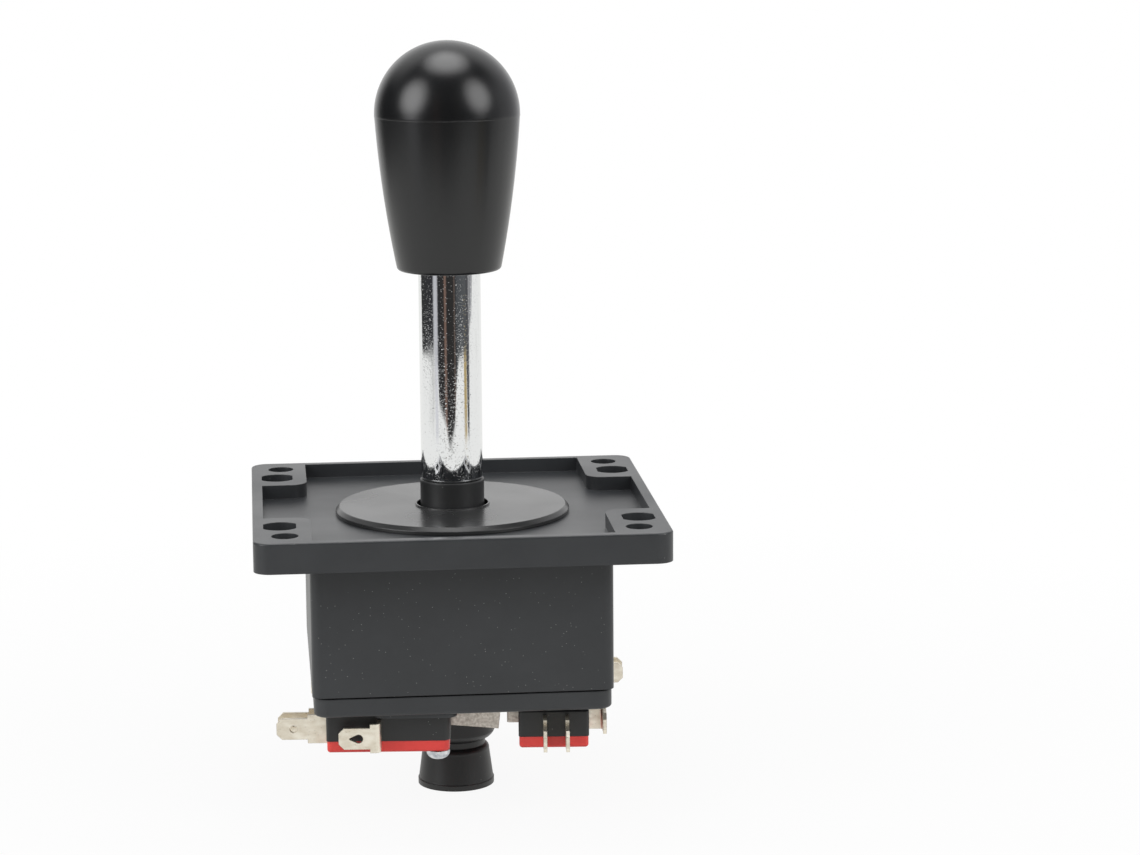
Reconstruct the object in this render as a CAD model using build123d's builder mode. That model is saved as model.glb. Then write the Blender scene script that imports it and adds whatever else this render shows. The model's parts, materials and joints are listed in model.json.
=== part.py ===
"""Arcade joystick lever: bat-top stick, panel housing and a pinwheel of four micro switches.

Millimetres, +Z up. The origin is the centre of the mounting plate's top face, on the stick's axis.
+X runs along the plate's width, and the first switch stands on the -Y side.
"""
import os
from math import cos, hypot, radians, sin, tan

from build123d import *

# Mounting plate: a rimmed tray with a boss in each corner
plate_w = 92.0
plate_d = 90.0
plate_t = 6.8
plate_corner_r = 3.8
plate_edge_r = 0.4
rim_w = 2.4
recess_depth = 3.3
recess_corner_r = 1.4
boss_w = 12.9
boss_d = 26.8
boss_corner_r = 3.8
bolt_inset_x = 7.0
bolt_inset_y = 7.8
bolt_hole_d = 6.0
slot_inset_x = 6.0
slot_inset_y = 18.0
slot_d = 8.6
slot_w = 7.3
slot_corner_r = 0.6

# Box body under the plate
body_w = 67.4
body_d = 69.0
body_h = 30.95
body_corner_r = 2.2
wall = 2.6
screw_boss_r = 3.6
spring_ring_h = 3.0
spring_ring_t = 1.4

# Base plate that closes the body
base_t = 4.65
base_inset = 0.35
base_corner_r = 3.4
base_edge_r = 0.7
seam_gap = 0.4
seam_depth = 0.8
lip_h = 1.6
lip_t = 2.0
pad_t = 1.0
pad_l = 18.5
pad_corner_r = 2.5
pad_margin = 2.9
pad_over = 1.6
platform_inset = 0.3

# Stick
throw_deg = 12.0
pivot_rise = 1.25
shaft_d = 8.0
shaft_end_d = 7.0
shaft_top_bevel = 0.6
shaft_end_bevel = 0.4
sleeve_d = 14.2
sleeve_edge_r = 0.6
collar_d = 14.7
collar_top = 4.5
collar_edge_r = 0.3
grip_top = 104.85
grip_d = 33.0
grip_bottom = 52.95
grip_bottom_d = 23.6
grip_waist_d = 29.5
grip_edge_r = 0.9
grip_sleeve_depth = 6.0
grip_shaft_depth = 36.0

# Pivot
ball_d = 17.0
ball_below = 6.0
liner_t = 1.0
liner_above = 2.5
liner_below = 4.6
liner_split = 1.2
retainer_h = 2.5
retainer_w = 2.2
hub_wall = 2.2
pivot_neck_d = 12.4
pivot_flange_t = 1.5
pivot_flange_d = 24.0
flange_rise = 8.5

# Return spring and its seat
spring_wire_d = 1.6
spring_mean_d = 34.4
spring_turns = 5.0
seat_t = 1.0
seat_lip = 1.2

# Dust washer and the slip ring under it
washer_d = 53.8
washer_t = 1.7
washer_bevel = 0.9
washer_hole_d = 16.45
washer_lip_w = 0.35
washer_lip_h = 0.35
washer_web = 1.1
slip_ring_w = 2.4
slip_ring_t = 0.45

# Actuator on the shaft's lower end
actuator_d = 18.2
actuator_draft = 0.25
actuator_gap = 2.0
bell_h = 10.75
bell_top_d = 11.0
bell_round = 2.4
bell_foot = 1.9
bell_bulge = 0.35
actuator_neck_d = 13.7
actuator_neck_h = 1.4
skirt_top_d = 15.6
skirt_shoulder = 1.35
shoulder_bulge = 0.3
skirt_h = 6.8
skirt_d = 17.4
skirt_rim_d = 17.7
skirt_rim_h = 1.3
skirt_wall = 0.95
clip_t = 0.8
clip_d = 12.0
clip_gap = 1.2
shaft_tail = 1.6

# Micro switches
switch_l = 27.8
switch_w = 15.9
case_t = 6.0
cover_t = 2.7
cover_inset = 0.15
switch_corner_r = 0.8
switch_nose_r = 1.6
case_bevel = 0.3
cover_edge_r = 0.7
switch_corner_x = 30.75
switch_corner_y = 28.27
switch_turn = 4.5
screw_u = 25.0
screw_v = 2.8
screw_d = 2.9
pin_u = 2.8
pin_v = 13.1
pin_d = 2.9
pin_short = 0.5
screw_grip = 3.8
screw_head_d = 5.3
screw_head_h = 2.2
screw_head_r = 1.6
lever_t = 0.4
lever_h = 4.4
lever_hinge_u = 13.36
lever_hinge_in = 1.0
lever_leg_in = 0.3
lever_stand = 2.4
lever_lean = 0.2
lever_droop = 4.9
lever_len = 25.7
lever_foot = 2.4
lever_tip_slant = 0.5
lever_swing = 3.0
lever_bend_r = 0.5
plunger_d = 2.1
plunger_u = 20.2
plunger_drop = 4.4
plunger_len = 4.0
plunger_tip_r = 0.9
plunger_travel = 0.4
tab_t = 0.8
tab_h = 4.85
tab_root_h = 6.6
tab_mid = 4.3
tab_len = 11.4
tab_root_len = 4.4
tab_tip = 1.2
tab_hole_d = 1.7
tab_hole_in = 3.85
com_hole_d = 2.0
com_hole_point = 1.9
com_hole_tip_r = 0.2
tab_tongue = 2.0
tab_tongue_h = 2.6
end_tab_v1 = 4.95
end_tab_v2 = 9.95
com_u = 12.0
com_stand = 4.05
com_len = 9.0
com_bend_r = 0.9
com_hole_in = 4.55

# Base screws
base_screw_inset = 4.4
base_screw_side = 4.7
base_screw_d = 2.8
base_screw_head_d = 5.6
base_screw_reach = 10.0

# Clearances
fit_gap = 0.05
run_gap = 0.2
seat_gap = 0.05
swing_gap = 0.4

# Levels and sizes that follow from the above
bolt_pitch_x = plate_w - 2 * bolt_inset_x
bolt_pitch_y = plate_d - 2 * bolt_inset_y
slot_pitch_x = plate_w - 2 * slot_inset_x
slot_pitch_y = plate_d - 2 * slot_inset_y
floor_top = -recess_depth
floor_bottom = -plate_t
seam_z = floor_bottom - body_h
base_bottom = seam_z - base_t
switch_top = base_bottom - pad_t
cover_top = switch_top - case_t
switch_bottom = cover_top - cover_t
pivot_z = seam_z + pivot_rise
throw = radians(throw_deg)
ball_r = ball_d / 2
liner_in = ball_r + run_gap
liner_out = liner_in + liner_t
socket_r = liner_out + run_gap
retainer_bottom = pivot_z + liner_above - retainer_h / 2
hub_top = retainer_bottom + retainer_h
retainer_r = socket_r + retainer_w
hub_r = retainer_r + hub_wall
flange_bottom = pivot_z + flange_rise
flange_top = flange_bottom + pivot_flange_t
seat_top = flange_top + seat_t
spring_r = spring_mean_d / 2
spring_out = (spring_mean_d + spring_wire_d) / 2
collar_r = collar_d / 2
gate_half = collar_r / cos(throw) + (floor_top - pivot_z) * tan(throw) + swing_gap
gate_corner_r = collar_r + swing_gap
cavity_w = body_w - 2 * wall
cavity_d = body_d - 2 * wall
base_w = body_w - 2 * base_inset
base_d = body_d - 2 * base_inset
shaft_shoulder = pivot_z - ball_below - actuator_gap
bell_bottom = shaft_shoulder - bell_h
neck_top = bell_bottom - bell_foot
neck_bottom = neck_top - actuator_neck_h
skirt_top = neck_bottom - skirt_shoulder
skirt_bottom = skirt_top - skirt_h
rim_bottom = skirt_bottom - skirt_rim_h
actuator_hub_bottom = skirt_top - clip_gap
clip_top = actuator_hub_bottom - clip_t
clip_bottom = clip_top - clip_t
shaft_bottom = clip_bottom - shaft_tail
switch_left = -switch_corner_x
switch_outer = -switch_corner_y
switch_face = switch_outer + switch_w
switch_x = switch_left + switch_l / 2
switch_y = switch_outer + switch_w / 2
switch_axis = Axis((switch_left, switch_outer, 0), (0, 0, 1))
swivel = radians(switch_turn)
case_screw = (switch_left + screw_u, switch_outer + screw_v)
case_pin = (switch_left + pin_u, switch_outer + pin_v)
screw_point, pin_point = [
    (
        switch_left + u * cos(swivel) + v * sin(swivel),
        switch_outer - u * sin(swivel) + v * cos(swivel),
    )
    for u, v in [(screw_u, screw_v), (pin_u, pin_v)]
]
base_screw_x = body_w / 2 - base_screw_inset
base_screw_y = body_d / 2 - base_screw_inset
base_screw_points = [
    (base_screw_side, -base_screw_y),
    (base_screw_x, base_screw_side),
    (-base_screw_side, base_screw_y),
    (-base_screw_x, -base_screw_side),
]
sides = ["front", "right", "back", "left"]
turns = [0, 90, 180, 270]

os.makedirs("parts", exist_ok=True)


# Outline of the carriage-bolt slots: a round hole with two flats
with BuildSketch() as slot_outline:
    Circle(slot_d / 2)
    Rectangle(slot_w, slot_d, mode=Mode.INTERSECT)
    fillet(slot_outline.vertices(), slot_corner_r)

# Upper housing: rimmed plate, corner bosses and box body in one moulding
with BuildPart() as upper_housing:
    with BuildSketch(Plane.XY.offset(floor_bottom)):
        RectangleRounded(plate_w, plate_d, plate_corner_r)
    extrude(amount=plate_t)
    fillet(upper_housing.faces().sort_by(Axis.Z)[-1].edges(), plate_edge_r)
    with BuildSketch(Plane.XY):
        RectangleRounded(plate_w - 2 * rim_w, plate_d - 2 * rim_w, recess_corner_r)
        with GridLocations(plate_w, plate_d, 2, 2):
            RectangleRounded(2 * boss_w, 2 * boss_d, boss_corner_r, mode=Mode.SUBTRACT)
    extrude(amount=-recess_depth, mode=Mode.SUBTRACT)
    with BuildSketch(Plane.XY.offset(seam_z)):
        RectangleRounded(body_w, body_d, body_corner_r)
    extrude(amount=body_h)
    with BuildSketch(Plane.XY.offset(seam_z)):
        RectangleRounded(cavity_w, cavity_d, body_corner_r / 2)
        with Locations(*base_screw_points):
            Circle(screw_boss_r, mode=Mode.SUBTRACT)
    extrude(amount=body_h, mode=Mode.SUBTRACT)
    with BuildSketch(Plane.XY.offset(floor_bottom)):
        Circle(spring_out + swing_gap + spring_ring_t)
        Circle(spring_out + swing_gap, mode=Mode.SUBTRACT)
    extrude(amount=-spring_ring_h)
    with BuildSketch(Plane.XY.offset(floor_bottom)):
        RectangleRounded(2 * gate_half, 2 * gate_half, gate_corner_r)
    extrude(amount=plate_t, mode=Mode.SUBTRACT)
    with BuildSketch(Plane.XY):
        with GridLocations(bolt_pitch_x, bolt_pitch_y, 2, 2):
            Circle(bolt_hole_d / 2)
        with GridLocations(slot_pitch_x, slot_pitch_y, 2, 2):
            add(slot_outline.sketch)
    extrude(amount=-plate_t, mode=Mode.SUBTRACT)
    with BuildSketch(Plane.XY.offset(seam_z)):
        with Locations(*base_screw_points):
            Circle(base_screw_d / 2 + fit_gap)
    extrude(amount=base_screw_reach + swing_gap, mode=Mode.SUBTRACT)
upper_housing.part.label = "upper_housing"
export_step(upper_housing.part, "parts/upper_housing.step")

# Base plate: closing plate with locating lip, pivot hub, switch pads and locating pins
with BuildPart() as base_plate:
    with BuildSketch(Plane.XY.offset(base_bottom)):
        RectangleRounded(base_w, base_d, base_corner_r)
    extrude(amount=base_t)
    fillet(base_plate.faces().sort_by(Axis.Z)[0].edges(), base_edge_r)
    with BuildSketch(Plane.XY.offset(seam_z)):
        RectangleRounded(base_w, base_d, base_corner_r)
        RectangleRounded(
            base_w - 2 * seam_depth,
            base_d - 2 * seam_depth,
            base_corner_r - seam_depth,
            mode=Mode.SUBTRACT,
        )
    extrude(amount=-seam_gap, mode=Mode.SUBTRACT)
    with BuildSketch(Plane.XY.offset(seam_z)):
        RectangleRounded(cavity_w - 2 * run_gap, cavity_d - 2 * run_gap, body_corner_r / 2)
        RectangleRounded(
            cavity_w - 2 * run_gap - 2 * lip_t,
            cavity_d - 2 * run_gap - 2 * lip_t,
            body_corner_r / 2,
            mode=Mode.SUBTRACT,
        )
        with Locations(*base_screw_points):
            Circle(screw_boss_r + run_gap, mode=Mode.SUBTRACT)
    extrude(amount=lip_h)
    with BuildSketch(Plane.XY.offset(seam_z)):
        Circle(hub_r)
    extrude(amount=hub_top - seam_z)
    for turn in turns:
        with BuildSketch(Plane.XY.offset(base_bottom + base_edge_r).rotated((0, 0, turn))):
            with Locations(Location((switch_left, switch_outer), -switch_turn)):
                with Locations((switch_l + pad_over - pad_l / 2, (switch_w - pad_margin) / 2)):
                    RectangleRounded(pad_l, switch_w + pad_margin, pad_corner_r)
                with Locations((switch_l / 2, switch_w / 2)):
                    RectangleRounded(
                        switch_l - 2 * platform_inset, switch_w - 2 * platform_inset, switch_corner_r
                    )
        extrude(amount=-(base_edge_r + pad_t))
    with Locations((0, 0, pivot_z)):
        Sphere(socket_r, mode=Mode.SUBTRACT)
    with BuildSketch(Plane.XY.offset(pivot_z)):
        Circle(socket_r)
    extrude(amount=hub_top - pivot_z, mode=Mode.SUBTRACT)
    with BuildSketch(Plane.XY.offset(retainer_bottom)):
        Circle(retainer_r)
    extrude(amount=retainer_h, mode=Mode.SUBTRACT)
    for turn in turns:
        with BuildSketch(Plane.XY.offset(switch_top).rotated((0, 0, turn))):
            with Locations(screw_point):
                Circle(screw_d / 2 + fit_gap)
        extrude(amount=screw_grip + swing_gap, mode=Mode.SUBTRACT)
        with BuildSketch(Plane.XY.offset(switch_top).rotated((0, 0, turn))):
            with Locations(pin_point):
                Circle(pin_d / 2)
        extrude(amount=switch_bottom + pin_short - switch_top)
    with Locations(Plane.XY.offset(base_bottom).rotated((180, 0, 0))):
        with Locations(*[(x, -y) for x, y in base_screw_points]):
            CounterSinkHole(base_screw_d / 2 + run_gap, base_screw_head_d / 2 + run_gap, depth=base_t)
base_plate.part.label = "base_plate"
export_step(base_plate.part, "parts/base_plate.step")

# Pivot retainer: ring pressed into the hub over the liner
with BuildPart() as pivot_retainer:
    with BuildSketch(Plane.XY.offset(retainer_bottom)):
        Circle(retainer_r - fit_gap)
    extrude(amount=retainer_h)
    with Locations((0, 0, pivot_z)):
        Sphere(socket_r, mode=Mode.SUBTRACT)
pivot_retainer.part.label = "pivot_retainer"
export_step(pivot_retainer.part, "parts/pivot_retainer.step")

# Pivot liner: split spherical shell between the ball and its socket
with BuildPart() as pivot_liner:
    with BuildSketch(Plane.XY.offset(pivot_z - liner_below)):
        Circle(liner_out)
    extrude(amount=liner_below + liner_above)
    with Locations((0, 0, pivot_z)):
        Sphere(liner_out, mode=Mode.INTERSECT)
    with Locations((0, 0, pivot_z)):
        Sphere(liner_in, mode=Mode.SUBTRACT)
    with BuildSketch(Plane.XY.offset(pivot_z - liner_below)):
        with Locations((0, liner_out)):
            Rectangle(liner_split, 2 * liner_out)
    extrude(amount=liner_below + liner_above, mode=Mode.SUBTRACT)
pivot_liner.part.label = "pivot_liner"
export_step(pivot_liner.part, "parts/pivot_liner.step")

# Pivot ball: collar, spring flange, neck and ball in one moulding on the shaft
with BuildPart() as pivot_ball:
    with BuildSketch(Plane.XY.offset(flange_top)):
        Circle(collar_r)
    extrude(amount=collar_top - flange_top)
    fillet(pivot_ball.faces().sort_by(Axis.Z)[-1].edges(), collar_edge_r)
    with BuildSketch(Plane.XY.offset(flange_bottom)):
        Circle(pivot_flange_d / 2)
    extrude(amount=pivot_flange_t)
    with BuildSketch(Plane.XY.offset(pivot_z)):
        Circle(pivot_neck_d / 2)
    extrude(amount=flange_rise)
    with Locations((0, 0, pivot_z)):
        Sphere(ball_r)
    with BuildSketch(Plane.XY.offset(pivot_z - ball_below)):
        Circle(ball_d)
    extrude(amount=-ball_r, mode=Mode.SUBTRACT)
    with BuildSketch(Plane.XY.offset(shaft_shoulder)):
        Circle(bell_top_d / 2)
    extrude(amount=actuator_gap)
    with BuildSketch(Plane.XY.offset(collar_top)):
        Circle(shaft_d / 2 + fit_gap)
    extrude(amount=-(collar_top - pivot_z + ball_d), mode=Mode.SUBTRACT)
pivot_ball.part.label = "pivot_ball"
export_step(pivot_ball.part, "parts/pivot_ball.step")

# Spring seat: lipped steel washer on the pivot's flange
with BuildPart() as spring_seat:
    with BuildSketch(Plane.XY.offset(flange_top)):
        Circle(spring_out + swing_gap + seat_t)
        Circle(collar_r + fit_gap, mode=Mode.SUBTRACT)
    extrude(amount=seat_t)
    with BuildSketch(Plane.XY.offset(seat_top)):
        Circle(spring_out + swing_gap + seat_t)
        Circle(spring_out + swing_gap, mode=Mode.SUBTRACT)
    extrude(amount=seat_lip)
spring_seat.part.label = "spring_seat"
export_step(spring_seat.part, "parts/spring_seat.step")

# Return spring: compression coil between its seat and the housing floor
spring_bottom = seat_top + spring_wire_d / 2 + seat_gap
spring_height = floor_bottom - seat_top - spring_wire_d - 2 * seat_gap
with BuildPart() as return_spring:
    with BuildLine() as coil:
        Helix(
            pitch=spring_height / spring_turns,
            height=spring_height,
            radius=spring_r,
            center=(0, 0, spring_bottom),
        )
    with BuildSketch(Plane(origin=coil.line @ 0, z_dir=coil.line % 0)):
        Circle(spring_wire_d / 2)
    sweep()
return_spring.part.label = "return_spring"
export_step(return_spring.part, "parts/return_spring.step")

# Shaft: steel rod with a shoulder for the actuator and a groove for its clip
with BuildPart() as shaft:
    with BuildSketch(Plane.XY.offset(shaft_shoulder)):
        Circle(shaft_d / 2)
    extrude(amount=grip_bottom + grip_shaft_depth - shaft_shoulder)
    with BuildSketch(Plane.XY.offset(shaft_bottom)):
        Circle(shaft_end_d / 2)
    extrude(amount=shaft_shoulder - shaft_bottom)
    chamfer(shaft.faces().sort_by(Axis.Z)[-1].edges(), shaft_top_bevel)
    chamfer(shaft.faces().sort_by(Axis.Z)[0].edges(), shaft_end_bevel)
    with BuildSketch(Plane.XY.offset(clip_bottom)):
        Circle(shaft_end_d)
        Circle(shaft_end_d / 2 - clip_t, mode=Mode.SUBTRACT)
    extrude(amount=clip_t, mode=Mode.SUBTRACT)
shaft.part.label = "shaft"
export_step(shaft.part, "parts/shaft.step")

# Shaft sleeve: chromed tube between the collar and the grip
with BuildPart() as shaft_sleeve:
    with BuildSketch(Plane.XY.offset(collar_top)):
        Circle(sleeve_d / 2)
    extrude(amount=grip_bottom + grip_sleeve_depth - collar_top)
    fillet(shaft_sleeve.edges().filter_by(GeomType.CIRCLE).group_by(Axis.Z)[0], sleeve_edge_r)
    with BuildSketch(Plane.XY.offset(collar_top)):
        Circle(shaft_d / 2 + fit_gap)
    extrude(amount=grip_bottom + grip_sleeve_depth - collar_top, mode=Mode.SUBTRACT)
shaft_sleeve.part.label = "shaft_sleeve"
export_step(shaft_sleeve.part, "parts/shaft_sleeve.step")

# Bat handle: round dome over a long taper, bored for the sleeve and the shaft
grip_r = grip_d / 2
grip_centre = grip_top - grip_r
grip_mid = (grip_centre + grip_bottom) / 2
with BuildPart() as bat_handle:
    with BuildSketch(Plane.XZ):
        with BuildLine():
            ThreePointArc(
                (0, grip_top),
                (grip_r * sin(radians(45)), grip_centre + grip_r * cos(radians(45))),
                (grip_r, grip_centre),
            )
            ThreePointArc(
                (grip_r, grip_centre),
                (grip_waist_d / 2, grip_mid),
                (grip_bottom_d / 2, grip_bottom),
            )
            Line((grip_bottom_d / 2, grip_bottom), (0, grip_bottom))
            Line((0, grip_bottom), (0, grip_top))
        make_face()
    revolve(axis=Axis.Z)
    fillet(bat_handle.edges().filter_by(GeomType.CIRCLE).group_by(Axis.Z)[0], grip_edge_r)
    with BuildSketch(Plane.XY.offset(grip_bottom)):
        Circle(sleeve_d / 2 + fit_gap)
    extrude(amount=grip_sleeve_depth, mode=Mode.SUBTRACT)
    with BuildSketch(Plane.XY.offset(grip_bottom)):
        Circle(shaft_d / 2 + fit_gap)
    extrude(amount=grip_shaft_depth, mode=Mode.SUBTRACT)
bat_handle.part.label = "bat_handle"
export_step(bat_handle.part, "parts/bat_handle.step")

# Actuator: bell that works the levers, neck, and flared skirt hollowed from below
bell_r = actuator_d / 2
neck_r = actuator_neck_d / 2
foot_chord = hypot(bell_r - neck_r, bell_foot)
foot_mid = (
    (bell_r + neck_r) / 2 + bell_bulge * bell_foot / foot_chord,
    (bell_bottom + neck_top) / 2 - bell_bulge * (bell_r - neck_r) / foot_chord,
)
skirt_top_r = skirt_top_d / 2
shoulder_chord = hypot(skirt_top_r - neck_r, skirt_shoulder)
shoulder_mid = (
    (neck_r + skirt_top_r) / 2 + shoulder_bulge * skirt_shoulder / shoulder_chord,
    (neck_bottom + skirt_top) / 2 + shoulder_bulge * (skirt_top_r - neck_r) / shoulder_chord,
)
with BuildPart() as actuator:
    with BuildSketch(Plane.XZ):
        with BuildLine():
            ThreePointArc((bell_r, bell_bottom), foot_mid, (neck_r, neck_top))
            Line((neck_r, neck_top), (neck_r, neck_bottom))
            ThreePointArc((neck_r, neck_bottom), shoulder_mid, (skirt_top_r, skirt_top))
            Polyline(
                (skirt_top_r, skirt_top),
                (skirt_d / 2, skirt_bottom),
                (skirt_rim_d / 2, skirt_bottom),
                (skirt_rim_d / 2, rim_bottom),
                (skirt_d / 2 - skirt_wall, rim_bottom),
                (skirt_top_r - skirt_wall, actuator_hub_bottom),
                (shaft_end_d / 2 + fit_gap, actuator_hub_bottom),
                (shaft_end_d / 2 + fit_gap, shaft_shoulder),
                (bell_top_d / 2, shaft_shoulder),
                (bell_r - actuator_draft, shaft_shoulder - bell_round),
                (bell_r, bell_bottom),
            )
        make_face()
    revolve(axis=Axis.Z)
actuator.part.label = "actuator"
export_step(actuator.part, "parts/actuator.step")

# Washer and clip that hold the actuator up against the shaft's shoulder
with BuildPart() as actuator_washer:
    with BuildSketch(Plane.XY.offset(clip_top)):
        Circle(clip_d / 2)
        Circle(shaft_end_d / 2 + fit_gap, mode=Mode.SUBTRACT)
    extrude(amount=clip_t)
actuator_washer.part.label = "actuator_washer"
export_step(actuator_washer.part, "parts/actuator_washer.step")

with BuildPart() as e_clip:
    with BuildSketch(Plane.XY.offset(clip_bottom)):
        Circle(clip_d / 2 - fit_gap)
        Circle(shaft_end_d / 2 - clip_t + fit_gap, mode=Mode.SUBTRACT)
        with Locations((0, -clip_d / 2)):
            Rectangle(shaft_end_d - 2 * clip_t, clip_d, mode=Mode.SUBTRACT)
        with PolarLocations(clip_d / 2, 2, 30, 240):
            Circle(clip_t, mode=Mode.SUBTRACT)
    extrude(amount=clip_t)
e_clip.part.label = "e_clip"
export_step(e_clip.part, "parts/e_clip.step")

# Slip ring and dust washer in the recess, free to slide with the collar
slide_max = (floor_top - pivot_z) * tan(throw)
slip_in = gate_half + swing_gap
slip_out = slip_in + slip_ring_w
slip_bottom = floor_top + seat_gap
with BuildPart() as slip_ring:
    with BuildSketch(Plane.XY.offset(slip_bottom)):
        Circle(slip_out)
        Circle(slip_in, mode=Mode.SUBTRACT)
    extrude(amount=slip_ring_t)
slip_ring.part.label = "slip_ring"
export_step(slip_ring.part, "parts/slip_ring.step")

washer_bottom = floor_top + seat_gap
washer_top = washer_bottom + washer_t
with BuildPart() as dust_washer:
    with BuildSketch(Plane.XY.offset(washer_bottom)):
        Circle(washer_d / 2)
    extrude(amount=washer_t)
    chamfer(dust_washer.faces().sort_by(Axis.Z)[-1].edges(), washer_bevel, washer_bevel)
    with BuildSketch(Plane.XY.offset(washer_top)):
        Circle(washer_hole_d / 2 + washer_lip_w)
    extrude(amount=washer_lip_h)
    with BuildSketch(Plane.XY.offset(washer_bottom)):
        Circle(slip_out + slide_max + swing_gap)
    extrude(amount=washer_t - washer_web, mode=Mode.SUBTRACT)
    with BuildSketch(Plane.XY.offset(washer_bottom)):
        Circle(washer_hole_d / 2)
    extrude(amount=washer_t + washer_lip_h, mode=Mode.SUBTRACT)
dust_washer.part.label = "dust_washer"
export_step(dust_washer.part, "parts/dust_washer.step")

# One micro switch on the -Y side, drawn square and then turned about its outer corner
# The other three are the same, turned round the shaft
hinge_x = switch_left + lever_hinge_u
hinge_y = switch_face - lever_hinge_in
lean = radians(lever_lean)
droop = tan(radians(lever_droop))
lever_corner = (hinge_x, switch_face + lever_stand)
lever_tip = (lever_corner[0] + lever_len * cos(lean), lever_corner[1] + lever_len * sin(lean))
lever_low = switch_bottom + lever_foot
plunger_x = switch_left + plunger_u
plunger_z = switch_top - plunger_drop
tab_z = switch_top - tab_mid
com_x = switch_left + com_u
notch_half = lever_t / 2 + lever_hinge_in * tan(radians(lever_swing)) + swing_gap
notch_depth = lever_hinge_in + lever_leg_in + swing_gap
plunger_tip = lever_stand + (plunger_u - lever_hinge_u) * tan(lean) - lever_t / 2 - run_gap
end_tab_ys = [switch_outer + end_tab_v1, switch_outer + end_tab_v2]

with BuildPart() as switch_case:
    with BuildSketch(Plane.XY.offset(cover_top)) as case_outline:
        with Locations((switch_x, switch_y)):
            Rectangle(switch_l, switch_w)
        fillet(case_outline.vertices().group_by(Axis.X)[0], switch_corner_r)
        fillet(case_outline.vertices().group_by(Axis.X)[-1], switch_nose_r)
        with Locations(case_screw):
            Circle(screw_d / 2 + run_gap, mode=Mode.SUBTRACT)
        with Locations(case_pin):
            Circle(pin_d / 2 + run_gap, mode=Mode.SUBTRACT)
    extrude(amount=case_t)
    with BuildSketch(Plane.XY.offset(lever_low - swing_gap)):
        with Locations((hinge_x, switch_face - notch_depth / 2)):
            Rectangle(2 * notch_half, notch_depth)
    extrude(amount=lever_h + 2 * swing_gap, mode=Mode.SUBTRACT)
    with BuildSketch(Plane.XZ.offset(-switch_face)):
        with Locations((plunger_x, plunger_z)):
            Circle(plunger_d / 2 + run_gap / 2)
    extrude(amount=plunger_len + plunger_travel + swing_gap, mode=Mode.SUBTRACT)
    with BuildSketch(Plane.YZ.offset(switch_left)):
        with Locations(*[(y, tab_z) for y in end_tab_ys]):
            Rectangle(tab_t + 2 * fit_gap, tab_tongue_h + 2 * fit_gap)
    extrude(amount=tab_tongue + fit_gap, mode=Mode.SUBTRACT)
    with BuildSketch(Plane.XZ.offset(-switch_outer)):
        with Locations((com_x, tab_z)):
            Rectangle(tab_t + 2 * fit_gap, tab_tongue_h + 2 * fit_gap)
    extrude(amount=-(tab_tongue + fit_gap), mode=Mode.SUBTRACT)
    chamfer(switch_case.faces().sort_by(Axis.Z)[-1].outer_wire().edges(), case_bevel)

with BuildPart() as switch_cover:
    with BuildSketch(Plane.XY.offset(switch_bottom)) as cover_outline:
        with Locations((switch_x, switch_y)):
            Rectangle(switch_l - 2 * cover_inset, switch_w - 2 * cover_inset)
        fillet(cover_outline.vertices().group_by(Axis.X)[0], switch_corner_r)
        fillet(cover_outline.vertices().group_by(Axis.X)[-1], switch_nose_r)
        with Locations(case_screw):
            Circle(screw_d / 2 + run_gap, mode=Mode.SUBTRACT)
        with Locations(case_pin):
            Circle(pin_d / 2 + run_gap, mode=Mode.SUBTRACT)
    extrude(amount=cover_t)
    fillet(switch_cover.faces().sort_by(Axis.Z)[0].outer_wire().edges(), cover_edge_r)
    with BuildSketch(Plane.XY.offset(lever_low - swing_gap)):
        with Locations((hinge_x, switch_face - notch_depth / 2)):
            Rectangle(2 * notch_half, notch_depth)
    extrude(amount=lever_h + 2 * swing_gap, mode=Mode.SUBTRACT)

with BuildPart() as switch_plunger:
    with BuildSketch(Plane.XZ.offset(-switch_face - plunger_tip)):
        with Locations((plunger_x, plunger_z)):
            Circle(plunger_d / 2)
    extrude(amount=plunger_len + plunger_tip)
    fillet(switch_plunger.faces().sort_by(Axis.Y)[-1].edges(), plunger_tip_r)

with BuildPart() as switch_lever:
    with BuildSketch(Plane.XY.offset(switch_bottom)):
        with BuildLine():
            FilletPolyline(
                (hinge_x, hinge_y - lever_leg_in),
                lever_corner,
                lever_tip,
                radius=lever_bend_r,
            )
        trace(line_width=lever_t)
    extrude(amount=lever_h + 2 * lever_foot, both=True)
    with BuildSketch(Plane.XZ):
        with BuildLine():
            Polyline(
                (hinge_x - lever_t, lever_low),
                (hinge_x + lever_t, lever_low),
                (lever_tip[0] - lever_tip_slant, lever_low - (lever_tip[0] - hinge_x) * droop),
                (lever_tip[0], lever_low + lever_h - (lever_tip[0] - hinge_x) * droop),
                (hinge_x + lever_t, lever_low + lever_h),
                (hinge_x - lever_t, lever_low + lever_h),
                close=True,
            )
        make_face()
    extrude(amount=switch_corner_y, mode=Mode.INTERSECT)

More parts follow.
